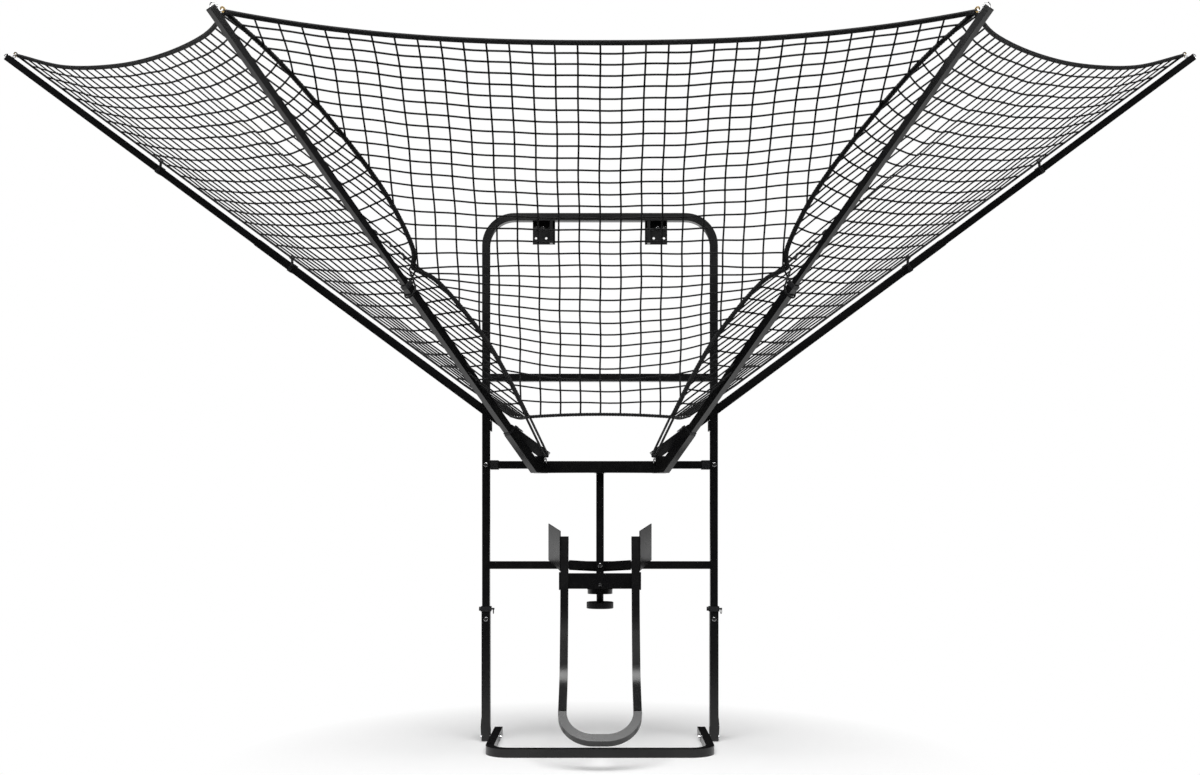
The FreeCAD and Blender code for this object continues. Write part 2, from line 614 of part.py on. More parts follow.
def inset(polygon, margins):
    """Move each side of a flat counter-clockwise polygon inwards by its own margin."""
    count = len(polygon)
    lines = []
    for i in range(count):
        heading = (polygon[(i + 1) % count] - polygon[i]).normalize()
        inward = Vector(-heading.y, heading.x, 0)
        lines.append((polygon[i] + inward * margins[i], heading))
    corners = []
    for i in range(count):
        first, along = lines[i - 1]
        second, other = lines[i]
        between = second - first
        turn = along.x * other.y - along.y * other.x
        if abs(turn) < 1e-6:
            corners.append(second)
        else:
            corners.append(first + along * ((between.x * other.y - between.y * other.x) / turn))
    return corners


def flat_face(corners):
    return Part.Face(Part.makePolygon(corners + corners[:1]))


def net_flat(corners, margins, across, origin):
    """One flat of a net panel: a plate with the net's cells cut out of it.

    across is the direction of the rows, and the cells are counted from origin.
    """
    normal = Vector()
    for here, after in zip(corners, corners[1:] + corners[:1]):
        normal += (here - origin).cross(after - origin)
    normal.normalize()
    origin = origin + normal * (corners[0] - origin).dot(normal)
    u_axis = (across - normal * across.dot(normal)).normalize()
    v_axis = normal.cross(u_axis)
    flat = [Vector((p - origin).dot(u_axis), (p - origin).dot(v_axis), 0) for p in corners]
    outline = inset(flat, margins)
    field = flat_face(inset(flat, [margin + CORD for margin in margins]))
    plate = flat_face(outline)
    box = field.BoundBox
    cells = []
    for column in range(math.floor(box.XMin / COLUMNS), math.ceil(box.XMax / COLUMNS)):
        for row in range(math.floor(box.YMin / ROWS), math.ceil(box.YMax / ROWS)):
            cells.append(Part.makePlane(COLUMNS - CORD, ROWS - CORD,
                                        Vector(column * COLUMNS + CORD / 2, row * ROWS + CORD / 2, 0)))
    holes = field.common(Part.makeCompound(cells))
    holes = [hole for hole in holes.Faces if hole.Area > SMALLEST_CELL]
    plate = plate.cut(Part.makeCompound(holes)).Faces[0].extrude(Vector(0, 0, NET_T))
    plate.translate(Vector(0, 0, -NET_T / 2))
    return placed(plate, origin, u_axis, normal)


def cord_run(points, radius):
    """Round cord through points, with a ball at each bend that is a touch wider than the cord."""
    runs = [rod(a, b, radius) for a, b in zip(points, points[1:])]
    balls = [Part.makeSphere(radius + BALL_PROUD, point) for point in points[1:-1]]
    body = runs[0]
    for piece in balls + runs[1:]:
        body = body.fuse(piece)
    return body


def trimmed(shape, spaces):
    """Cut a net piece back from its neighbours and keep its main solid."""
    for space in spaces:
        if shape.BoundBox.intersect(space.BoundBox):
            shape = shape.cut(space)
    return max(shape.Solids, key=lambda solid: solid.Volume)


def clip_places():
    """Arm point, nearest point on the edge cord and tube size for each net clip."""
    base, tip = vec(REAR_BASE), vec(REAR_TIP)
    along = (tip - base).normalize()
    far = vec(OUTER_CORNER)
    cord = (vec(POST_CORNER) - far).normalize()
    places = []
    for place in CLIPS:
        at = base + along * place
        size = REAR_INNER if place < REAR_STEP else REAR_OUTER
        places.append((at, far + cord * (at - far).dot(cord), size, along, cord))
    return places


def net_clip_spaces():
    """Room that the net leaves round the clips' eyes on the edge cord."""
    reach = CLIP_HALF + 1
    return [rod(near - cord * reach, near + cord * reach, EDGE_R + GAP + CLIP_WALL + GAP)
            for at, near, size, along, cord in clip_places()]


def room(points, radius):
    """Room that a cord of the given radius fills, as separate simple solids."""
    balls = [Part.makeSphere(radius + BALL_PROUD, point) for point in points]
    return [rod(a, b, radius) for a, b in zip(points, points[1:])] + balls


def net():
    """Three panels of flats between the seams, the borders and the edge cords."""
    corner = vec(TOP_CORNER)
    bend = vec(SEAM_BEND)
    tie = vec(TIE_POINT)
    belly = vec(BELLY)
    low = vec(LOW_INNER)
    outside = vec(LOW_OUTER)
    by_post = vec(POST_CORNER)
    far = vec(OUTER_CORNER)

    def twin(point):
        return Vector(-point.x, point.y, point.z)

    seam = SEAM_R + GAP
    border = BORDER_R + GAP
    edge = EDGE_R + GAP
    row_centre = Vector(0, bend.y, bend.z)
    top = sagging(twin(corner), corner, vec(SAG_AIM), TOP_SAG, 5)
    space = room([corner, bend, tie, low], seam)
    spaces = space + [mirrored(solid) for solid in space]
    flats = [net_flat(top + [bend, twin(bend)], [border] * 6 + [seam, CREASE, seam], X, row_centre),
             net_flat([twin(bend), bend, belly, twin(belly)], [CREASE] * 4, X, row_centre),
             net_flat([twin(belly), belly, low, twin(low)], [CREASE, CREASE, border, CREASE], X,
                      Vector(0, belly.y, belly.z))]
    flats = [trimmed(flat, spaces) for flat in flats]
    side_flats = [net_flat([bend, tie, belly], [seam, CREASE, CREASE], X, Vector(0, belly.y, belly.z)),
                  net_flat([belly, tie, low], [CREASE, seam, CREASE], X, Vector(0, belly.y, belly.z))]
    for flat in side_flats:
        flats += pair(flat)
    save("centre_net", *flats)

    outer = sagging(corner, far, bend, OUTER_SAG, 5)
    rows = (far - by_post).normalize()
    side = [net_flat(outer[::-1] + [bend], [border] * 6 + [seam, CREASE], rows, far),
            net_flat([far, bend, tie], [CREASE, seam, CREASE], rows, far),
            net_flat([far, tie, by_post], [CREASE, CREASE, edge], rows, far),
            net_flat([by_post, tie, outside], [CREASE, CREASE, edge], rows, far),
            net_flat([tie, low, outside], [seam, border, CREASE], rows, far)]
    outer_space = room(outer, border)
    edge_space = room([far, by_post, outside], edge)
    side = [trimmed(flat, space + outer_space + edge_space + net_clip_spaces()) for flat in side]
    save("left_net", *side)
    save("right_net", *[mirrored(flat) for flat in side])

    seam_line = cord_run([corner, bend, tie, low], SEAM_R)
    save("net_seams", *pair(seam_line))
    save("top_border", trimmed(cord_run(top, BORDER_R), spaces))
    bottom = trimmed(cord_run([twin(low), low], BORDER_R), spaces)
    outer_border = trimmed(cord_run(outer, BORDER_R), space)
    edge_line = trimmed(cord_run([far, by_post, outside], EDGE_R), outer_space)
    lower = trimmed(cord_run([outside, low], BORDER_R), space + edge_space)
    save("outer_borders", *pair(outer_border))
    save("edge_cords", *pair(edge_line))
    save("bottom_borders", bottom, *pair(lower))


def net_fittings():
    """Grommets, tip rings, ties round the front arms, bottom straps with rings, and clips."""
    grommets = []
    rings = []
    front = (vec(FRONT_BASE), vec(FRONT_TIP))
    rear = (vec(REAR_BASE), vec(REAR_TIP))
    corner = vec(TOP_CORNER)
    far = vec(OUTER_CORNER)
    for point, behind, arm, setback, size, roll in (
            (corner, vec(SEAM_BEND), front, 0.0, ARM_UPPER, ARM_ROLL),
            (far, vec(POST_CORNER), rear, FAR_SETBACK, REAR_OUTER, 0.0)):
        outward = (point - behind).normalize()
        eye = point + outward * (GROMMET_R + setback + GAP)
        along = (arm[1] - arm[0]).normalize()
        foot = arm[0] + along * (eye - arm[0]).dot(along)
        aim = (foot - eye).normalize()
        face = aim.cross(outward).normalize()
        grommets += pair(washer(eye - face * GROMMET_T / 2, face, GROMMET_R, GROMMET_BORE, GROMMET_T))
        seat = eye + aim * (GROMMET_BORE - RING_WIRE - 3 * GAP)
        tube = straight_tube(arm[0], arm[1], size, None, roll)
        span = (foot - seat).Length - size / math.sqrt(2) - GAP - RING_WIRE
        square_on = face.cross(aim)
        hoop = ring(seat + aim * (span / 2), square_on, span / 2, RING_WIRE)
        span += hoop.distToShape(tube)[0] - GAP
        rings += pair(ring(seat + aim * (span / 2), square_on, span / 2, RING_WIRE))
    save("net_grommets", *grommets)

    low = vec(LOW_INNER)
    hang = Vector(-CARRIER_X + STRAP_RING_IN, STRAP_Y + STRAP_T / 2, STRAP_HIGH + RING_R + RING_WIRE + GAP)
    rings += pair(ring(hang, X, RING_R, RING_WIRE))
    save("net_rings", *rings)
    top = hang + Vector(0, 0, RING_R + RING_WIRE + GAP + STRAP_R)
    away = (low - top).normalize()
    straps = []
    for side in (-1, 1):
        offset = Vector(side * (STRAP_R + GAP), 0, 0)
        strap = rod(top + offset, low - away * (SEAM_R + GAP + 1) + offset, STRAP_R)
        straps += pair(trimmed(strap, room([vec(LOW_OUTER), low], BORDER_R + GAP)))
    save("bottom_straps", *straps)

    base, tip = front
    along = (tip - base).normalize()
    at = base + along * (JOINER_LOW - 14)
    tie = vec(TIE_POINT)
    radius = ARM_LOWER / math.sqrt(2) + TIE_R + GAP
    loops = []
    for shift in (-1, 1):
        middle = at + along * (shift * 6)
        loop = ring(middle, along, radius, TIE_R)
        aim = tie - middle
        side = (aim - along * aim.dot(along)).normalize()
        start = middle + side * radius
        run = (tie - start).normalize()
        tail = rod(start, tie - run * (SEAM_R + GAP), TIE_R)
        loops.append(loop.fuse(tail))
    tied = trimmed(loops[0].fuse(loops[1]), room([vec(SEAM_BEND), tie, low], SEAM_R + GAP))
    save("mid_ties", *pair(tied))

    clips = []
    for at, near, size, along, cord in clip_places():
        sleeve, eye = along * CLIP_HALF, cord * CLIP_HALF
        body = straight_tube(at - sleeve, at + sleeve, size + 2 * (GAP + CLIP_WALL))
        body = body.fuse(rod(at, near, CLIP_NECK_R)).fuse(rod(near - eye, near + eye, EDGE_R + GAP + CLIP_WALL))
        body = body.cut(straight_tube(at - sleeve * 5, at + sleeve * 5, size + 2 * GAP))
        body = body.cut(rod(near - eye * 5, near + eye * 5, EDGE_R + GAP))
        clips += pair(max(body.Solids, key=lambda solid: solid.Volume))
    save("net_clips", *clips)


def arm_lock_pins():
    """Pull pins through the rear sockets, each with a knob and a wire ring."""
    at, out = rear_pin_line()
    start = at + out * (REAR_SOCKET / 2 + GAP)
    pin = lock_pin(start, out * -1, REAR_SOCKET - 3, LOCK_PIN_R)
    flat = (X - out * X.dot(out)).normalize()
    wire = ring(start + out * PIN_RING_LIFT + flat * (PIN_RING_R - 1), out, PIN_RING_R, PIN_WIRE)
    pin = pin.fuse(wire)
    save("left_arm_pin", pin)
    save("right_arm_pin", mirrored(pin))


def ramp():
    """Two bent rails on a carrier plate that turns on the swivel bolt, guides and return loop."""
    rail = placed(bent_tube(RAIL_PATH, RAIL_BENDS, RAIL, WALL), Vector(-RAMP_X, 0, 0), Y, X)
    inside = RAMP_X - RAIL / 2
    outside = RAMP_X + RAIL / 2
    top, knee = RAIL_PATH[0], RAIL_PATH[1]
    middle = (CROSS_LOW + CROSS_HIGH) / 2
    cross_y = knee[0] + (top[0] - knee[0]) * (middle - knee[1]) / (top[1] - knee[1])
    cross = Part.makeBox(2 * inside + 2, PLATE, CROSS_HIGH - CROSS_LOW,
                         Vector(-inside - 1, cross_y - PLATE / 2, CROSS_LOW))
    carrier = Part.makeBox(CARRIER_W, SWIVEL_Y - cross_y, PLATE,
                           Vector(-CARRIER_W / 2, cross_y, CARRIER_TOP - PLATE))
    eye = Part.makeCylinder(CARRIER_W / 2, PLATE, Vector(0, SWIVEL_Y, CARRIER_TOP - PLATE), Z)
    cheek = Part.makeBox(CHEEK_T, RAIL + 2 * CHEEK_LIP, CROSS_HIGH - CROSS_LOW + 2 * CHEEK_LIP,
                         Vector(-outside - CHEEK_T, cross_y - RAIL / 2 - CHEEK_LIP, CROSS_LOW - CHEEK_LIP))
    frame = rail.multiFuse([mirrored(rail), cross, carrier, eye, cheek, mirrored(cheek)]).removeSplitter()
    frame = frame.cut(Part.makeCylinder(SWIVEL_R + RUN, 60, Vector(0, SWIVEL_Y, CARRIER_TOP - 30), Z))
    frame = frame.cut(Part.makeBox(SQUARE_HOLE, 5 * PLATE, SQUARE_HOLE,
                                   Vector(-SQUARE_HOLE / 2, cross_y - 2.5 * PLATE, CROSS_LOW + SQUARE_HOLE)))
    save("ramp_frame", frame)

    x = -outside
    corners = [Vector(x, GUIDE_FRONT_Y, GUIDE_LOW_FRONT), Vector(x, GUIDE_FRONT_Y, GUIDE_TOP_FRONT),
               Vector(x - GUIDE_FLARE, GUIDE_FRONT_Y + GUIDE_DEPTH, GUIDE_TOP_BACK),
               Vector(x - GUIDE_FLARE, GUIDE_FRONT_Y + GUIDE_DEPTH, GUIDE_LOW_BACK)]
    guide = flat_face(corners).extrude(Vector(-GUIDE_T, 0, 0))
    flange = Part.makeBox(GUIDE_T, GUIDE_FRONT_Y - GUIDE_LAP, top[1] - GUIDE_LOW_FRONT,
                          Vector(x - GUIDE_T, GUIDE_LAP, GUIDE_LOW_FRONT))
    save("ramp_guides", *pair(guide.fuse(flange).removeSplitter()))

    end = RAIL_PATH[-1]
    before = RAIL_PATH[-2]
    slope = math.degrees(math.atan2(before[1] - end[1], before[0] - end[0]))
    wedge = LOOP_TUBE / 2 * math.tan(math.radians(LOOP_DROP - slope)) + GAP
    down = math.radians(LOOP_DROP)
    path = [(-RAMP_X, 0), (-RAMP_X, LOOP_REACH), (RAMP_X, LOOP_REACH), (RAMP_X, 0)]
    loop = bent_tube(path, [LOOP_BEND, LOOP_BEND], LOOP_TUBE, WALL)
    start = Vector(0, end[0] - wedge * math.cos(down), end[1] - wedge * math.sin(down))
    loop = placed(loop, start, X, Vector(0, math.sin(down), -math.cos(down)))
    save("return_loop", loop)


def swivel():
    """Swivel bolt in the centre post's foot, brass washer, friction disc and hand knob."""
    foot = Vector(0, SWIVEL_Y, CARRIER_TOP + GAP / 2)
    washer_top = CARRIER_TOP - PLATE - GAP / 2
    disc_top = washer_top - WASHER_T
    knob_top = disc_top - DISC_H - KNOB_GAP
    bolt_low = Vector(0, SWIVEL_Y, knob_top - KNOB_H + 6)
    save("swivel_bolt", rod(bolt_low, foot + Z * 26, SWIVEL_R))
    save("brass_washer", washer(Vector(0, SWIVEL_Y, disc_top), Z, DISC_R + 1.5, SWIVEL_R + RUN, WASHER_T))
    disc = washer(Vector(0, SWIVEL_Y, disc_top - DISC_H), Z, DISC_R, SWIVEL_R + RUN, DISC_H - GAP / 2)
    save("friction_disc", disc)
    knob = Part.makeCylinder(KNOB_R, KNOB_H, Vector(0, SWIVEL_Y, knob_top - KNOB_H), Z)
    rims = [edge for edge in knob.Edges if edge.Closed and edge.Length > KNOB_R * 4]
    knob = knob.makeFillet(2.5, rims)
    knob = knob.fuse(Part.makeCylinder(KNOB_HUB_R, KNOB_GAP - GAP, Vector(0, SWIVEL_Y, knob_top), Z))
    bore = Part.makeCylinder(SWIVEL_R + RUN, 100, Vector(0, SWIVEL_Y, knob_top - KNOB_H + 6 - GAP), Z)
    save("hand_knob", knob.cut(bore).removeSplitter())


floor_base()
lower_legs()
leg_lock_pins()
loose_bolts = upright_frame() + top_brackets() + centre_post()
save("frame_bolts", *loose_bolts)
arm_rests()
arm_carrier()
arm_lock_pins()
for hand in (1, -1):
    joiner_left, bush_left = front_arm(hand)
    rear_arm(hand)
save("front_arm_joiners", *pair(joiner_left))
save("arm_bushings", *pair(bush_left))
arm_caps()
net()
net_fittings()
ramp()
swivel()
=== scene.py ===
import bisect
import json
import math
import random

import bmesh
import bpy
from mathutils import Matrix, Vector


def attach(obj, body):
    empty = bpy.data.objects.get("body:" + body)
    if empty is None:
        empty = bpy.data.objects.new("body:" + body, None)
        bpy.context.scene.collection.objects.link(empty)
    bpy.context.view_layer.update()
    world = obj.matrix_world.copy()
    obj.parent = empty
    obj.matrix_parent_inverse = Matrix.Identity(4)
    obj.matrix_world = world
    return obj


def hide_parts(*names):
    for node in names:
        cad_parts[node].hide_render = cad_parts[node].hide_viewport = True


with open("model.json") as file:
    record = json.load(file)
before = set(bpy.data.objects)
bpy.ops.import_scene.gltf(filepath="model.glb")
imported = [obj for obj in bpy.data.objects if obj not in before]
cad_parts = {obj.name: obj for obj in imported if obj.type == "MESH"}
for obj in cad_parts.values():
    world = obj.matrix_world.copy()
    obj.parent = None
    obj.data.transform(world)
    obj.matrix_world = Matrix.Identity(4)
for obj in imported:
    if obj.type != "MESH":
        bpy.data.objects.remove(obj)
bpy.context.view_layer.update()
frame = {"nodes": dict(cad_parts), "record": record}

MM = 0.001
UP = Vector((0, 0, 1))
RIGHT = Vector((1, 0, 0))

# The photograph's frame and the camera that took it
PHOTO_WIDTH = 1200
PHOTO_HORIZON = 132.5        # pixels from the picture's centre down to the horizon
CAMERA = Vector((0, -4.150, 0.820))
LENS = 36.0

# Net corners on the left side, millimetres, as in the part's source
TOP_CORNER = (-1105, -612, 2318)
TIE_POINT = (-628, -120, 1666)
LOW_INNER = (-246, -60, 1171)
LOW_OUTER = (-326, 262, 1201)
POST_CORNER = (-500, 275, 1318)
OUTER_CORNER = (-2350, 690, 2693)
FRONT_BASE = (-221, 250, 987)
FRONT_TIP = (-1134, -650, 2313)
SEAM_UPPER = [TOP_CORNER, (-974, -450, 2217), (-811, -290, 2036), (-697.5, -210, 1880.5),
              (-626.7, -150, 1733), TIE_POINT]
SEAM_LOWER = [TIE_POINT, (-539, -105, 1615.5), (-403, -85, 1453.5), (-321, -72, 1319.6), LOW_INNER]
OUTER_LINE = [TOP_CORNER, (-1246, -374, 2343), (-1502, -25, 2418), (-1777, 265, 2491), (-2085, 518, 2582),
              OUTER_CORNER]
TOP_SAG = 85.0
TOP_FLATNESS = 2.4           # over 2, the top border is flatter in its middle than a parabola
SAG_AIM = (0, 14, 0)         # floor point that the top border sags towards
BOTTOM_RISE = 9.0
ROWS = 32                    # net rows from the top border to the bottom border
TIE_ROW = 19                 # the row that reaches the seam at the tie
COLUMN = 68.0                # pitch of the centre panel's columns
LANE = 61.0                  # pitch of a side panel's lanes along its outer border
CROSS_ROWS = 31              # rows of a side panel
TIE_REACH = 830.0            # from the front arm's base to its tie, along the arm
TIE_LOOP = 26.0              # radius of the tie's loop round the arm
TIE_R = 3.4
RING_TOP = (-197, 249, 1057)  # where the bottom strap wraps its ring, left side
STRAP_W = 13.0
STRAP_T = 5.0
STRAP_HALF = 6.5             # half the gap between a strap's two legs, between their middles
HOOKS = [(-1127, -650, 2321, 11), (-2398, 702, 2693, 11)]   # wire loops at the arm tips: centre and radius
HOOK_R = 1.5
NUT = (0, 69.4, 593)         # square nut in the cross plate's hole
NUT_SIZE = (9.6, 11.0, 9.6)
NUT_BEVEL = 0.7
CORD_R = 3.0
KNOT_R = 4.2
EDGE_R = 4.5
TAPE_W = 15.5                # borders, wide and thick
TAPE_T = 8.5
SEAM_W = 17.0
SEAM_T = 13.0
NET_WOBBLE = 1.2             # unevenness of the strands
STITCH_SHARE = 0.28          # a stitch row's place across a tape, as a share of its width
STITCH_LIFT = 0.475          # and its height, as a share of the tape's thickness
STITCH_PITCH = 9.5
STITCH_LENGTH = 6.0
THREAD_R = 0.6


def mm(point):
    return Vector(point) * MM


def mix(a, b, share):
    return a + (b - a) * share


def twin(point):
    return Vector((-point.x, point.y, point.z))


class Path:
    """A polyline that is read by length."""

    def __init__(self, points):
        self.points = [Vector(p) for p in points]
        self.marks = [0.0]
        for a, b in zip(self.points, self.points[1:]):
            self.marks.append(self.marks[-1] + (b - a).length)
        self.length = self.marks[-1]

    def at(self, share):
        goal = min(max(share, 0.0), 1.0) * self.length
        i = min(max(bisect.bisect_right(self.marks, goal) - 1, 0), len(self.points) - 2)
        run = self.marks[i + 1] - self.marks[i]
        return mix(self.points[i], self.points[i + 1], (goal - self.marks[i]) / run)


def smooth(points, steps=8):
    """Curve through given points, each span cut into steps."""
    p = [Vector(q) for q in points]
    p = [p[0] * 2 - p[1]] + p + [p[-1] * 2 - p[-2]]
    line = []
    for i in range(1, len(p) - 2):
        before, here, after, beyond = p[i - 1:i + 3]
        for step in range(steps):
            t = step / steps
            line.append(0.5 * (2 * here + (after - before) * t
                               + (2 * before - 5 * here + 4 * after - beyond) * t * t
                               + (3 * here - before - 3 * after + beyond) * t * t * t))
    return line + [p[-2]]


def sagging(start, end, towards, sag, steps=40, flatness=2.0):
    """Curve from start to end that hangs towards a point: a parabola where flatness is 2."""
    run = (end - start).normalized()
    aim = towards - (start + end) / 2
    aim = (aim - run * aim.dot(run)).normalized()
    shares = [i / steps for i in range(steps + 1)]
    return [mix(start, end, t) + aim * sag * (1 - abs(2 * t - 1) ** flatness) for t in shares]


def bezier(a, b, c, steps=60):
    points = []
    for i in range(steps + 1):
        t = i / steps
        points.append(a * (1 - t) ** 2 + b * 2 * t * (1 - t) + c * t * t)
    return points


# Net surfaces

corner = mm(TOP_CORNER)
far = mm(OUTER_CORNER)
low = mm(LOW_INNER)
outside = mm(LOW_OUTER)
by_post = mm(POST_CORNER)
top_line = sagging(twin(corner), corner, mm(SAG_AIM), TOP_SAG * MM, flatness=TOP_FLATNESS)
seam_above = Path(smooth([mm(p) for p in SEAM_UPPER]))
seam_below = Path(smooth([mm(p) for p in SEAM_LOWER]))
seam_line = seam_above.points + seam_below.points[1:]
bottom_line = sagging(twin(low), low, Vector((0, low.y, low.z + 1)), BOTTOM_RISE * MM)
middle = Path(bezier(top_line[20], Vector((0, -0.150, 1.990)), bottom_line[20]))
outer_line = smooth([mm(p) for p in OUTER_LINE])
outer = Path(outer_line[::-1])
edge = Path([far, by_post, outside])


def seam_at(row):
    """Point where a row of the centre panel reaches the left seam."""
    if row <= TIE_ROW:
        return seam_above.at(row / TIE_ROW)
    t = (row - TIE_ROW) / (ROWS - TIE_ROW)
    return seam_below.at(0.74 * t + 0.26 * t * t)


def centre_point(x, row):
    end = seam_at(row)
    share = min(abs(x / end.x), 1.0)
    mid = middle.at(row / ROWS)
    point = mix(mid, Vector((0, end.y, end.z)), share * share)
    return Vector((x, point.y, point.z))


def centre_strands():
    rows = []
    for row in range(1, ROWS):
        width = abs(seam_at(row).x)
        count = max(int(width * 2 / 0.030), 8)
        rows.append([centre_point(-width + 2 * width * i / count, row) for i in range(count + 1)])
    columns = []
    knots = []
    reach = int(abs(corner.x) / (COLUMN * MM))
    for i in range(-reach, reach + 1):
        x = i * COLUMN * MM
        last = float(ROWS)
        if abs(x) > abs(low.x):
            lo, hi = 0.0, float(ROWS)
            for halving in range(24):
                trial = (lo + hi) / 2
                if abs(seam_at(trial).x) > abs(x):
                    lo = trial
                else:
                    hi = trial
            last = lo
        count = max(int(last * 2), 2)
        columns.append([centre_point(x, last * step / count) for step in range(count + 1)])
        knots += [centre_point(x, row) for row in range(1, ROWS) if row < last]
    return rows + columns, knots


# Share along the outer border, and the share along the seam where that lane of cord ends
LANE_ENDS = [(0.195, 1.0), (0.38, 0.868), (0.53, 0.75), (0.69, 0.537), (0.83, 0.417), (0.89, 0.304),
             (0.94, 0.194), (1.0, 0.0)]
seam = Path(seam_line)


def seam_share(lane):
    if lane <= LANE_ENDS[0][0]:
        return 1.0
    for (a, s), (b, t) in zip(LANE_ENDS, LANE_ENDS[1:]):
        if lane <= b:
            return s + (t - s) * (lane - a) / (b - a)
    return 0.0


def lane_end(lane):
    if lane >= LANE_ENDS[0][0]:
        return seam.at(seam_share(lane))
    return mix(outside, low, lane / LANE_ENDS[0][0])


def side_point(lane, row):
    """Point on the left side panel: lane is a share along the outer border, row counts down from it."""
    crossed = CROSS_ROWS * max(seam_share(lane), 0.001)
    share = min(row / crossed, 1.0)
    start = outer.at(lane)
    point = mix(start, lane_end(lane), share)
    straight = mix(far, outside, share)
    return point + (edge.at(share) - straight) * max(1 - lane * 3, 0) ** 2


def side_strands():
    lanes = []
    knots = []
    step = LANE * MM / outer.length
    count = int(1 / step)
    for j in range(1, count + 1):
        lane = j * step
        last = CROSS_ROWS * seam_share(lane)
        if last < 0.8:
            continue
        pieces = max(int(last * 2), 2)
        lanes.append([side_point(lane, last * i / pieces) for i in range(pieces + 1)])
        knots += [side_point(lane, row) for row in range(1, CROSS_ROWS) if row < last - 0.2]
    rows = []
    for row in range(1, CROSS_ROWS):
        lo, hi = 0.0, 1.0
        for halving in range(24):
            trial = (lo + hi) / 2
            if CROSS_ROWS * seam_share(trial) > row:
                lo = trial
            else:
                hi = trial
        pieces = max(int(lo / step * 2), 4)
        rows.append([side_point(lo * i / pieces, row) for i in range(pieces + 1)])
    return lanes + rows, knots


# Materials

def new_material(name):
    material = bpy.data.materials.new(name)
    material.use_nodes = True
    nodes = material.node_tree.nodes
    return material, nodes, material.node_tree.links, nodes["Principled BSDF"]


def add(nodes, kind, **values):
    node = nodes.new(kind)
    for key, value in values.items():
        if hasattr(node, key):
            setattr(node, key, value)
        else:
            node.inputs[key].default_value = value
    return node


def grain(nodes, links, scale, detail=3.0):
    """Noise on the object's own coordinates."""
    place = nodes.new("ShaderNodeTexCoord")
    noise = add(nodes, "ShaderNodeTexNoise", Scale=scale, Detail=detail)
    links.new(place.outputs["Object"], noise.inputs["Vector"])
    return noise


def ramp(nodes, links, source, low_value, high_value, low_at=0.3, high_at=0.7):
    spread = nodes.new("ShaderNodeMapRange")
    limits = {"From Min": low_at, "From Max": high_at, "To Min": low_value, "To Max": high_value}
    for name, value in limits.items():
        spread.inputs[name].default_value = value
    links.new(source, spread.inputs["Value"])
    return spread.outputs["Result"]


def relief(nodes, links, shader, height, distance, strength):
    """Small bumps on the shader's surface."""
    bump = add(nodes, "ShaderNodeBump", Strength=strength, Distance=distance)
    links.new(height, bump.inputs["Height"])
    links.new(bump.outputs["Normal"], shader.inputs["Normal"])


def tint(nodes, links, factor, first, second):
    blend = nodes.new("ShaderNodeMix")
    blend.data_type = "RGBA"
    blend.inputs[6].default_value = (*first, 1)
    blend.inputs[7].default_value = (*second, 1)
    links.new(factor, blend.inputs[0])
    return blend.outputs[2]


def coated_steel():
    """Satin black powder coat: fine orange peel, faint cloudy sheen and a little handling dust."""
    material, nodes, links, shader = new_material("coated_steel")
    peel = grain(nodes, links, 900.0, 2.0)
    clouds = grain(nodes, links, 7.0)
    dust = grain(nodes, links, 60.0, 6.0)
    colour = tint(nodes, links, ramp(nodes, links, dust.outputs["Fac"], 0.0, 1.0, 0.45, 0.8),
                  (0.0035, 0.0035, 0.004), (0.007, 0.0068, 0.0065))
    links.new(colour, shader.inputs["Base Color"])
    links.new(ramp(nodes, links, clouds.outputs["Fac"], 0.24, 0.33), shader.inputs["Roughness"])
    shader.inputs["Specular IOR Level"].default_value = 0.5
    relief(nodes, links, shader, peel.outputs["Fac"], 0.00006, 0.25)
    return material


def bright_metal(name, colour, rough, scratch):
    """Plated metal with fine brushed scratches."""
    material, nodes, links, shader = new_material(name)
    marks = grain(nodes, links, scratch, 4.0)
    smear = grain(nodes, links, 40.0)
    links.new(tint(nodes, links, smear.outputs["Fac"], colour, tuple(c * 0.82 for c in colour)),
              shader.inputs["Base Color"])
    shader.inputs["Metallic"].default_value = 1.0
    links.new(ramp(nodes, links, smear.outputs["Fac"], rough, rough + 0.12), shader.inputs["Roughness"])
    relief(nodes, links, shader, marks.outputs["Fac"], 0.00003, 0.3)
    return material


def moulded(name, colour, rough, scale, depth):
    """Moulded plastic or rubber with a fine spark-eroded grain."""
    material, nodes, links, shader = new_material(name)
    skin = grain(nodes, links, scale, 5.0)
    cloud = grain(nodes, links, 15.0)
    links.new(tint(nodes, links, cloud.outputs["Fac"], colour, tuple(c * 1.6 for c in colour)),
              shader.inputs["Base Color"])
    links.new(ramp(nodes, links, skin.outputs["Fac"], rough - 0.06, rough + 0.08), shader.inputs["Roughness"])
    shader.inputs["Specular IOR Level"].default_value = 0.35
    relief(nodes, links, shader, skin.outputs["Fac"], depth, 0.5)
    return material


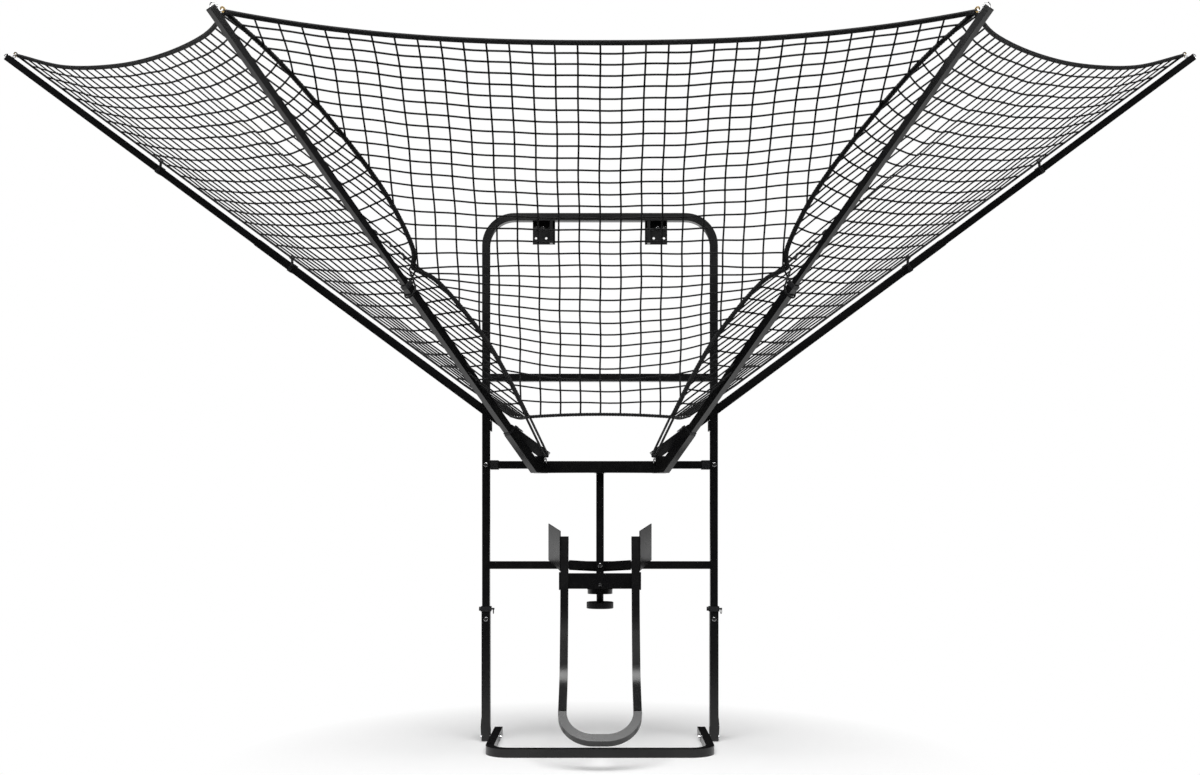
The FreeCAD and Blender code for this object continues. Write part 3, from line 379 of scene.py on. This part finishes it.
def woven(name, colour, along_scale, across_scale, depth):
    """Braided or woven black yarn: diagonal ribs that follow the piece's own UV map, in metres, with painted
    shade in the grooves between the ribs.
    """
    material, nodes, links, shader = new_material(name)
    place = add(nodes, "ShaderNodeUVMap", uv_map="UVMap")
    waves = []
    for slant in (1, -1):
        turn = nodes.new("ShaderNodeMapping")
        turn.inputs["Scale"].default_value = (along_scale, across_scale * slant, 1)
        links.new(place.outputs["UV"], turn.inputs["Vector"])
        wave = add(nodes, "ShaderNodeTexWave", bands_direction="DIAGONAL", Scale=1.0, Distortion=0.6)
        links.new(turn.outputs["Vector"], wave.inputs["Vector"])
        waves.append(wave)
    both = add(nodes, "ShaderNodeMath", operation="MULTIPLY")
    links.new(waves[0].outputs["Fac"], both.inputs[0])
    links.new(waves[1].outputs["Fac"], both.inputs[1])
    fuzz = grain(nodes, links, 1400.0, 2.0)
    height = add(nodes, "ShaderNodeMath", operation="MULTIPLY_ADD")
    links.new(fuzz.outputs["Fac"], height.inputs[0])
    height.inputs[1].default_value = 0.35
    links.new(both.outputs["Value"], height.inputs[2])
    # The yarn's colour follows the ribs' height and is darker in the grooves between them: painted shade.
    links.new(tint(nodes, links, both.outputs["Value"], tuple(c * 0.55 for c in colour), colour),
              shader.inputs["Base Color"])
    shader.inputs["Roughness"].default_value = 0.72
    shader.inputs["Specular IOR Level"].default_value = 0.25
    shader.inputs["Sheen Weight"].default_value = 0.08
    relief(nodes, links, shader, height.outputs["Value"], depth, 0.9)
    return material


COATED = coated_steel()
CHROME = bright_metal("chrome", (0.78, 0.78, 0.79), 0.10, 1500.0)
BRASS = bright_metal("brass", (0.72, 0.50, 0.21), 0.22, 1200.0)
PLASTIC = moulded("black_plastic", (0.010, 0.010, 0.011), 0.48, 1300.0, 0.00006)
TYRE = moulded("wheel_rubber", (0.012, 0.012, 0.012), 0.72, 700.0, 0.00015)
NET_CORD = woven("net_cord", (0.010, 0.010, 0.011), 700.0, 240.0, 0.0003)
TAPE = woven("woven_tape", (0.011, 0.011, 0.012), 450.0, 450.0, 0.0003)
BRAID = woven("braided_cord", (0.011, 0.011, 0.012), 320.0, 320.0, 0.0005)
DARK_CORD = woven("dark_braid", (0.006, 0.006, 0.0065), 320.0, 320.0, 0.0005)
THREAD = woven("sewing_thread", (0.030, 0.030, 0.031), 1500.0, 900.0, 0.0001)

SLOT_FINISH = {"powder_coat": COATED, "chrome_hardware": CHROME, "brass_fittings": BRASS,
               "black_plastic": PLASTIC, "wheel_rubber": TYRE, "net_cord": NET_CORD, "webbing": TAPE}


def dress_nodes():
    """Give every CAD node the finish of its material slot."""
    for part in frame["record"]["subparts"]:
        node = frame["nodes"][part["node"]]
        finish = SLOT_FINISH[part["material_slot"]]
        node.data.materials.clear()
        node.data.materials.append(finish)


# Mesh tools

def piece_from(name, vertices, faces, material, uvs=None, shade=True):
    mesh = bpy.data.meshes.new(name)
    mesh.from_pydata([tuple(v) for v in vertices], [], faces)
    mesh.update()
    if uvs:
        layer = mesh.uv_layers.new(name="UVMap")
        for loop, uv in zip(layer.data, uvs):
            loop.uv = uv
    mesh.materials.append(material)
    if shade:
        mesh.shade_smooth()
    obj = bpy.data.objects.new(name, mesh)
    bpy.context.scene.collection.objects.link(obj)
    return obj


def oval(width, thickness, sides=12, power=0.7):
    """Section of a folded tape or cord: a superellipse."""
    points = []
    for i in range(sides):
        angle = 2 * math.pi * i / sides
        c, s = math.cos(angle), math.sin(angle)
        points.append((math.copysign(abs(c) ** power, c) * width / 2,
                       math.copysign(abs(s) ** power, s) * thickness / 2))
    return points


def round_section(radius, sides=10):
    """Section of a round cord, from its radius in millimetres."""
    return oval(2 * radius * MM, 2 * radius * MM, sides, 1.0)


def swept(paths, section, normal_of):
    """Vertices, faces and UVs of closed-ended sweeps of one section along several paths."""
    vertices, faces, uvs = [], [], []
    around = [0.0]
    for a, b in zip(section, section[1:] + section[:1]):
        around.append(around[-1] + math.dist(a, b))
    n = len(section)
    for path in paths:
        first = len(vertices)
        length = 0.0
        marks = []
        for i, point in enumerate(path):
            if i:
                length += (point - path[i - 1]).length
            marks.append(length)
            tangent = (path[min(i + 1, len(path) - 1)] - path[max(i - 1, 0)]).normalized()
            normal = normal_of(point, tangent)
            across = tangent.cross(normal).normalized()
            normal = across.cross(tangent).normalized()
            vertices += [point + across * u + normal * v for u, v in section]
        for i in range(len(path) - 1):
            for j in range(n):
                k = (j + 1) % n
                a = first + i * n
                faces.append((a + j, a + n + j, a + n + k, a + k))
                uvs += [(marks[i], around[j]), (marks[i + 1], around[j]),
                        (marks[i + 1], around[j + 1]), (marks[i], around[j + 1])]
        last = first + (len(path) - 1) * n
        faces.append(tuple(first + j for j in range(n)))
        faces.append(tuple(last + j for j in reversed(range(n))))
        uvs += [(u, v) for u, v in section] * 2
    return vertices, faces, uvs


def facing_out(point, tangent):
    """Direction from the hoop's middle outwards, so that tapes lie in the net's surface."""
    outward = point - Vector((0, 0.25, 2.6))
    return (outward - tangent * outward.dot(tangent)).normalized()


def sweep_piece(name, paths, section, material, normal_of=facing_out):
    vertices, faces, uvs = swept(paths, section, normal_of)
    obj = piece_from(name, vertices, faces, material, uvs)
    tidy = bmesh.new()
    tidy.from_mesh(obj.data)
    bmesh.ops.recalc_face_normals(tidy, faces=tidy.faces)
    tidy.to_mesh(obj.data)
    tidy.free()
    return obj


def both_sides(paths):
    return paths + [[twin(p) for p in path] for path in paths]


# Geometry Nodes

def socket(tree, name, kind, value=None):
    item = tree.interface.new_socket(name, in_out="INPUT", socket_type=kind)
    if value is not None:
        item.default_value = value
    return item


def net_tree():
    """Tubes along loose edges, with a knot on every loose point."""
    tree = bpy.data.node_groups.new("net_cords", "GeometryNodeTree")
    socket(tree, "Geometry", "NodeSocketGeometry")
    socket(tree, "Cord radius", "NodeSocketFloat", 0.002)
    socket(tree, "Knot radius", "NodeSocketFloat", 0.003)
    socket(tree, "Material", "NodeSocketMaterial")
    tree.interface.new_socket("Geometry", in_out="OUTPUT", socket_type="NodeSocketGeometry")
    nodes, links = tree.nodes, tree.links
    start = nodes.new("NodeGroupInput")
    end = nodes.new("NodeGroupOutput")
    is_knot = nodes.new("GeometryNodeInputNamedAttribute")
    is_knot.data_type = "BOOLEAN"
    is_knot.inputs["Name"].default_value = "knot"
    split = nodes.new("GeometryNodeSeparateGeometry")
    split.domain = "POINT"
    links.new(start.outputs["Geometry"], split.inputs["Geometry"])
    links.new(is_knot.outputs["Attribute"], split.inputs["Selection"])

    lines = nodes.new("GeometryNodeMeshToCurve")
    links.new(split.outputs["Inverted"], lines.inputs["Mesh"])
    measure = nodes.new("GeometryNodeSplineParameter")
    mark = nodes.new("GeometryNodeStoreNamedAttribute")
    mark.data_type = "FLOAT"
    mark.domain = "POINT"
    mark.inputs["Name"].default_value = "along"
    links.new(lines.outputs["Curve"], mark.inputs["Geometry"])
    links.new(measure.outputs["Length"], mark.inputs["Value"])
    section = nodes.new("GeometryNodeCurvePrimitiveCircle")
    section.inputs["Resolution"].default_value = 6
    links.new(start.outputs["Cord radius"], section.inputs["Radius"])
    tube = nodes.new("GeometryNodeCurveToMesh")
    tube.inputs["Fill Caps"].default_value = True
    links.new(mark.outputs["Geometry"], tube.inputs["Curve"])
    links.new(section.outputs["Curve"], tube.inputs["Profile Curve"])

    ball = nodes.new("GeometryNodeMeshIcoSphere")
    ball.inputs["Subdivisions"].default_value = 2
    links.new(start.outputs["Knot radius"], ball.inputs["Radius"])
    spots = nodes.new("GeometryNodeInstanceOnPoints")
    links.new(split.outputs["Selection"], spots.inputs["Points"])
    links.new(ball.outputs["Mesh"], spots.inputs["Instance"])
    turn = nodes.new("FunctionNodeRandomValue")
    turn.data_type = "FLOAT_VECTOR"
    turn.inputs["Max"].default_value = (6.28, 6.28, 6.28)
    turn.inputs["Seed"].default_value = 7
    links.new(turn.outputs["Value"], spots.inputs["Rotation"])
    spots.inputs["Scale"].default_value = (1.25, 1.0, 0.85)

    join = nodes.new("GeometryNodeJoinGeometry")
    links.new(tube.outputs["Mesh"], join.inputs["Geometry"])
    links.new(spots.outputs["Instances"], join.inputs["Geometry"])
    real = nodes.new("GeometryNodeRealizeInstances")
    links.new(join.outputs["Geometry"], real.inputs["Geometry"])
    soft = nodes.new("GeometryNodeSetShadeSmooth")
    links.new(real.outputs["Geometry"], soft.inputs["Geometry"])
    paint = nodes.new("GeometryNodeSetMaterial")
    links.new(soft.outputs["Geometry"], paint.inputs["Geometry"])
    links.new(start.outputs["Material"], paint.inputs["Material"])
    links.new(paint.outputs["Geometry"], end.inputs["Geometry"])
    return tree


def stitch_tree():
    """Short thread stitches lying along loose edges, evenly spaced."""
    tree = bpy.data.node_groups.new("stitches", "GeometryNodeTree")
    socket(tree, "Geometry", "NodeSocketGeometry")
    socket(tree, "Pitch", "NodeSocketFloat", 0.006)
    socket(tree, "Stitch length", "NodeSocketFloat", 0.004)
    socket(tree, "Thread radius", "NodeSocketFloat", 0.0005)
    socket(tree, "Material", "NodeSocketMaterial")
    tree.interface.new_socket("Geometry", in_out="OUTPUT", socket_type="NodeSocketGeometry")
    nodes, links = tree.nodes, tree.links
    start = nodes.new("NodeGroupInput")
    end = nodes.new("NodeGroupOutput")
    lines = nodes.new("GeometryNodeMeshToCurve")
    links.new(start.outputs["Geometry"], lines.inputs["Mesh"])
    spots = nodes.new("GeometryNodeCurveToPoints")
    spots.mode = "LENGTH"
    links.new(lines.outputs["Curve"], spots.inputs["Curve"])
    links.new(start.outputs["Pitch"], spots.inputs["Length"])
    thread = nodes.new("GeometryNodeMeshCylinder")
    thread.inputs["Vertices"].default_value = 6
    links.new(start.outputs["Thread radius"], thread.inputs["Radius"])
    links.new(start.outputs["Stitch length"], thread.inputs["Depth"])
    lay = nodes.new("GeometryNodeInstanceOnPoints")
    links.new(spots.outputs["Points"], lay.inputs["Points"])
    links.new(thread.outputs["Mesh"], lay.inputs["Instance"])
    links.new(spots.outputs["Rotation"], lay.inputs["Rotation"])
    real = nodes.new("GeometryNodeRealizeInstances")
    links.new(lay.outputs["Instances"], real.inputs["Geometry"])
    paint = nodes.new("GeometryNodeSetMaterial")
    links.new(real.outputs["Geometry"], paint.inputs["Geometry"])
    links.new(start.outputs["Material"], paint.inputs["Material"])
    links.new(paint.outputs["Geometry"], end.inputs["Geometry"])
    return tree


def lines_object(name, strands, knots=()):
    vertices, edges = [], []
    for strand in strands:
        first = len(vertices)
        vertices += [tuple(p) for p in strand]
        edges += [(first + i, first + i + 1) for i in range(len(strand) - 1)]
    plain = len(vertices)
    vertices += [tuple(p) for p in knots]
    mesh = bpy.data.meshes.new(name)
    mesh.from_pydata(vertices, edges, [])
    flag = mesh.attributes.new("knot", "BOOLEAN", "POINT")
    flag.data.foreach_set("value", [i >= plain for i in range(len(vertices))])
    obj = bpy.data.objects.new(name, mesh)
    bpy.context.scene.collection.objects.link(obj)
    return obj


def grown(name, source, tree, **values):
    """Run a node tree on an object and keep the result as a plain mesh."""
    modifier = source.modifiers.new("grow", "NODES")
    modifier.node_group = tree
    names = {item.name: item.identifier for item in tree.interface.items_tree if item.in_out == "INPUT"}
    for key, value in values.items():
        modifier[names[key.replace("_", " ")]] = value
    bpy.context.view_layer.update()
    evaluated = source.evaluated_get(bpy.context.evaluated_depsgraph_get())
    mesh = bpy.data.meshes.new_from_object(evaluated)
    mesh.name = name
    bpy.data.objects.remove(source)
    obj = bpy.data.objects.new(name, mesh)
    bpy.context.scene.collection.objects.link(obj)
    return obj


def box_uvs(obj):
    """A UV map in metres: along the cord where the tree measured it, else the plain position."""
    mesh = obj.data
    layer = mesh.uv_layers.get("UVMap") or mesh.uv_layers.new(name="UVMap")
    along = mesh.attributes.get("along")
    for loop in mesh.loops:
        co = mesh.vertices[loop.vertex_index].co
        reach = along.data[loop.vertex_index].value if along else co.x
        layer.data[loop.index].uv = (reach, co.x + co.y + co.z)


def wobble(strands, knots, amount, seed):
    """The same small unevenness for a strand and for the knots on it."""
    noise = random.Random(seed)
    phase = [noise.uniform(0, 6.28) for unused in range(3)]

    def shift(p):
        return Vector((math.sin(p.z * 31 + phase[0]) + math.sin(p.y * 17 + phase[1]),
                       math.sin(p.x * 23 + phase[2]),
                       math.sin(p.x * 29 + phase[1]) + math.sin(p.y * 13 + phase[0]))) * amount

    return [[p + shift(p) for p in strand] for strand in strands], [p + shift(p) for p in knots]


def keep(obj, slot, *nodes, body="upright"):
    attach(obj, body)
    if nodes:
        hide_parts(*nodes)
    return obj


def hang_net():
    tree = net_tree()
    sizes = {"Cord_radius": CORD_R * MM, "Knot_radius": KNOT_R * MM, "Material": NET_CORD}
    strands, knots = wobble(*centre_strands(), NET_WOBBLE * MM, 3)
    centre = grown("centre_net_cords", lines_object("centre_lines", strands, knots), tree, **sizes)
    strands, knots = wobble(*side_strands(), NET_WOBBLE * MM, 5)
    left = grown("left_net_cords", lines_object("left_lines", strands, knots), tree, **sizes)
    right = grown("right_net_cords", lines_object("right_lines", [[twin(p) for p in s] for s in strands],
                                                  [twin(p) for p in knots]), tree, **sizes)
    for obj, node in ((centre, "centre_net"), (left, "left_net"), (right, "right_net")):
        box_uvs(obj)
        keep(obj, "net_cord", node)


def bind_net():
    """Tapes, seams and edge cords."""
    tape = oval(TAPE_W * MM, TAPE_T * MM)
    keep(sweep_piece("top_tape", [top_line], tape, TAPE), "webbing", "top_border")
    keep(sweep_piece("outer_tapes", both_sides([outer_line]), tape, TAPE), "webbing", "outer_borders")
    lower = [outside, mix(outside, low, 0.5) - UP * 0.006, low]
    keep(sweep_piece("bottom_tapes", [bottom_line] + both_sides([smooth(lower, 8)]), tape, TAPE),
         "webbing", "bottom_borders")
    keep(sweep_piece("seam_tapes", both_sides([seam_line]), oval(SEAM_W * MM, SEAM_T * MM), TAPE),
         "webbing", "net_seams")
    cord = [edge.at(i / 60) for i in range(61)]
    ropes = sweep_piece("edge_ropes", both_sides([cord]), round_section(EDGE_R), BRAID)
    keep(ropes, "net_cord", "edge_cords")


def crossed_loop(a, b, axis, around_a, around_b, cord):
    """A figure of eight round two lines that run along the axis, crossing itself without touching."""
    u = (b - a).normalized()
    v = axis.cross(u).normalized()
    lift = u.cross(v) * cord * 1.1
    lean = math.acos((around_a + around_b) / (b - a).length)
    path = []
    for i in range(25):
        angle = lean + (2 * math.pi - 2 * lean) * i / 24
        path.append(a + (u * math.cos(angle) + v * math.sin(angle)) * around_a + lift * (i / 12 - 1))
    for i in range(17):
        angle = math.pi - lean - (2 * math.pi - 2 * lean) * i / 16
        path.append(b + (u * math.cos(angle) + v * math.sin(angle)) * around_b + lift * (1 - i / 8))
    return path + [path[0]]


def tie_net():
    """Crossed ties from the seams to the front arms."""
    base, tip = mm(FRONT_BASE), mm(FRONT_TIP)
    along = (tip - base).normalized()
    loop = crossed_loop(base + along * TIE_REACH * MM, mm(TIE_POINT), along, TIE_LOOP * MM,
                        (SEAM_W / 2 + TIE_R + 1) * MM, TIE_R * MM)
    ties = sweep_piece("seam_ties", both_sides([loop]), round_section(TIE_R), DARK_CORD)
    keep(ties, "net_cord", "mid_ties")


def hook_tips():
    """Wire loops at the arm tips."""
    for name, (x, y, z, radius) in zip(("front_tip_hooks", "rear_tip_hooks"), HOOKS):
        loop = [mm((x + radius * math.cos(math.pi * i / 16), y, z + radius * math.sin(math.pi * i / 16)))
                for i in range(33)]
        hooks = sweep_piece(name, both_sides([loop]), round_section(HOOK_R, 8), CHROME,
                            lambda point, tangent: Vector((0, 1, 0)))
        keep(hooks, "chrome_hardware")


def strap_outlet():
    """Webbing loops from the outlet's corners to the rings."""
    start, end = low, mm(RING_TOP)
    run = (end - start).normalized()
    side = (RIGHT - run * run.x).normalized()
    face = run.cross(side)
    half = STRAP_HALF * MM
    path = [mix(start, end, 0.5) + side * half]
    for middle_point, first in ((end, 1), (start, -1)):
        for i in range(13):
            angle = math.pi * i / 12
            path.append(middle_point + (side * math.cos(angle) + run * math.sin(angle)) * half * first)
    path.append(path[0])
    for name, mirror in (("left_outlet_strap", False), ("right_outlet_strap", True)):
        loop = [twin(p) for p in path] if mirror else path
        flat = twin(face) if mirror else face
        strap = sweep_piece(name, [loop], oval(STRAP_W * MM, STRAP_T * MM, 10, 0.5), TAPE,
                            lambda point, tangent: tangent.cross(flat).normalized())
        keep(strap, "net_cord", "bottom_straps")


def seat_nut():
    """Bright square nut in the ramp's cross plate."""
    solid = bmesh.new()
    bmesh.ops.create_cube(solid, size=1.0)
    bmesh.ops.scale(solid, vec=mm(NUT_SIZE), verts=solid.verts)
    bmesh.ops.bevel(solid, geom=solid.edges[:], offset=NUT_BEVEL * MM, segments=3, affect="EDGES",
                    profile=0.5)
    bmesh.ops.translate(solid, vec=mm(NUT), verts=solid.verts)
    mesh = bpy.data.meshes.new("cross_plate_nut")
    solid.to_mesh(mesh)
    solid.free()
    mesh.materials.append(CHROME)
    obj = bpy.data.objects.new("cross_plate_nut", mesh)
    bpy.context.scene.collection.objects.link(obj)
    keep(obj, "chrome_hardware", body="ramp")


def stitch_lines(path, offset, lift):
    """Two rows of stitching, one on each face of a tape."""
    rows = []
    for side in (1, -1):
        row = []
        for i, point in enumerate(path):
            tangent = (path[min(i + 1, len(path) - 1)] - path[max(i - 1, 0)]).normalized()
            normal = facing_out(point, tangent)
            across = tangent.cross(normal).normalized()
            row.append(point + across * offset + normal * lift * side)
        rows.append(row)
    return rows


def sew_tapes():
    tree = stitch_tree()
    rows = []
    for path, width, thick in ((top_line, TAPE_W, TAPE_T), (bottom_line, TAPE_W, TAPE_T)):
        for share in (STITCH_SHARE, -STITCH_SHARE):
            rows += stitch_lines(path, width * share * MM, thick * STITCH_LIFT * MM)
    for path, width, thick in ((outer_line, TAPE_W, TAPE_T), (seam_line, SEAM_W, SEAM_T)):
        for share in (STITCH_SHARE, -STITCH_SHARE):
            rows += both_sides(stitch_lines(path, width * share * MM, thick * STITCH_LIFT * MM))
    obj = grown("tape_stitches", lines_object("stitch_lines", rows), tree, Pitch=STITCH_PITCH * MM,
                Stitch_length=STITCH_LENGTH * MM, Thread_radius=THREAD_R * MM, Material=THREAD)
    box_uvs(obj)
    keep(obj, "webbing")


dress_nodes()
hang_net()
bind_net()
tie_net()
hook_tips()
strap_outlet()
seat_nut()
sew_tapes()


# Stage, light and camera

def build_stage():
    """Pale floor that keeps the shadow near the stand and runs out to white further off."""
    size = 40.0              # half the floor's side, metres
    floor = piece_from("floor", [(-size, -size, 0), (size, -size, 0), (size, size, 0), (-size, size, 0)],
                       [(0, 1, 2, 3)], white_floor(), shade=False)


def white_floor():
    """Plain white near the stand, to hold its shadow, and glowing further off.

    Reflections see its front part dark.
    """
    material, nodes, links, shader = new_material("white_floor")
    shader.inputs["Base Color"].default_value = (0.90, 0.90, 0.90, 1)
    shader.inputs["Roughness"].default_value = 0.6
    place = nodes.new("ShaderNodeTexCoord")
    flat = add(nodes, "ShaderNodeVectorMath", operation="LENGTH")
    links.new(place.outputs["Object"], flat.inputs[0])
    fade = ramp(nodes, links, flat.outputs["Value"], 0.20, 1.0, 0.6, 1.3)
    parts = nodes.new("ShaderNodeSeparateXYZ")
    links.new(place.outputs["Object"], parts.inputs["Vector"])
    path = nodes.new("ShaderNodeLightPath")
    mirrored = ramp(nodes, links, parts.outputs["Y"], 0.04, 1.0, -1.0, 0.6)
    bright = add(nodes, "ShaderNodeMath", operation="MAXIMUM")
    links.new(mirrored, bright.inputs[0])
    links.new(path.outputs["Is Camera Ray"], bright.inputs[1])
    glow = nodes.new("ShaderNodeEmission")
    links.new(bright.outputs["Value"], glow.inputs["Strength"])
    blend = nodes.new("ShaderNodeMixShader")
    links.new(fade, blend.inputs["Fac"])
    links.new(shader.outputs["BSDF"], blend.inputs[1])
    links.new(glow.outputs["Emission"], blend.inputs[2])
    links.new(blend.outputs["Shader"], nodes["Material Output"].inputs["Surface"])
    return material


def studio_world():
    """White for the camera; else a dark room, paler high up in front and at the left back."""
    world = bpy.data.worlds.new("studio")
    world.use_nodes = True
    nodes, links = world.node_tree.nodes, world.node_tree.links
    room = nodes["Background"]
    room.inputs["Color"].default_value = (1, 1, 1, 1)
    place = nodes.new("ShaderNodeTexCoord")
    parts = nodes.new("ShaderNodeSeparateXYZ")
    links.new(place.outputs["Generated"], parts.inputs["Vector"])
    x, y, z = (parts.outputs[axis] for axis in "XYZ")

    def times(a, b):
        node = add(nodes, "ShaderNodeMath", operation="MULTIPLY")
        links.new(a, node.inputs[0])
        links.new(b, node.inputs[1])
        return node.outputs["Value"]

    ceiling = times(ramp(nodes, links, z, 0.0, 0.17, 0.26, 0.60),
                    ramp(nodes, links, y, 1.0, 0.0, -0.15, 0.12))
    left_back = times(ramp(nodes, links, x, 0.45, 0.0, -0.65, -0.30),
                      ramp(nodes, links, y, 0.0, 1.0, 0.30, 0.60))
    total = add(nodes, "ShaderNodeMath", operation="ADD")
    links.new(ceiling, total.inputs[0])
    links.new(left_back, total.inputs[1])
    walls = add(nodes, "ShaderNodeMath", operation="ADD")
    links.new(total.outputs["Value"], walls.inputs[0])
    walls.inputs[1].default_value = 0.015
    links.new(walls.outputs["Value"], room.inputs["Strength"])
    white = nodes.new("ShaderNodeBackground")
    white.inputs["Strength"].default_value = 1.0
    white.inputs["Color"].default_value = (1, 1, 1, 1)
    path = nodes.new("ShaderNodeLightPath")
    blend = nodes.new("ShaderNodeMixShader")
    links.new(path.outputs["Is Camera Ray"], blend.inputs["Fac"])
    links.new(room.outputs["Background"], blend.inputs[1])
    links.new(white.outputs["Background"], blend.inputs[2])
    links.new(blend.outputs["Shader"], nodes["World Output"].inputs["Surface"])
    bpy.context.scene.world = world


def lamp(name, place, aim, size, power):
    light = bpy.data.lights.new(name, "AREA")
    light.shape = "RECTANGLE"
    light.size = size[0]
    light.size_y = size[1]
    light.energy = power
    obj = bpy.data.objects.new(name, light)
    obj.location = place
    obj.rotation_euler = (Vector(aim) - Vector(place)).to_track_quat("-Z", "Y").to_euler()
    bpy.context.scene.collection.objects.link(obj)


def light_and_camera():
    lamp("overhead", (0, -2.1, 5.0), (0, -0.3, 0.3), (5.5, 3.2), 430)
    camera = bpy.data.cameras.new("camera")
    camera.lens = LENS
    camera.sensor_width = 36.0
    camera.shift_y = PHOTO_HORIZON / PHOTO_WIDTH
    obj = bpy.data.objects.new("camera", camera)
    obj.location = CAMERA
    obj.rotation_euler = (math.pi / 2, 0, 0)
    bpy.context.scene.collection.objects.link(obj)
    bpy.context.scene.camera = obj


build_stage()
studio_world()
light_and_camera()
bpy.context.scene.view_settings.view_transform = "Standard"
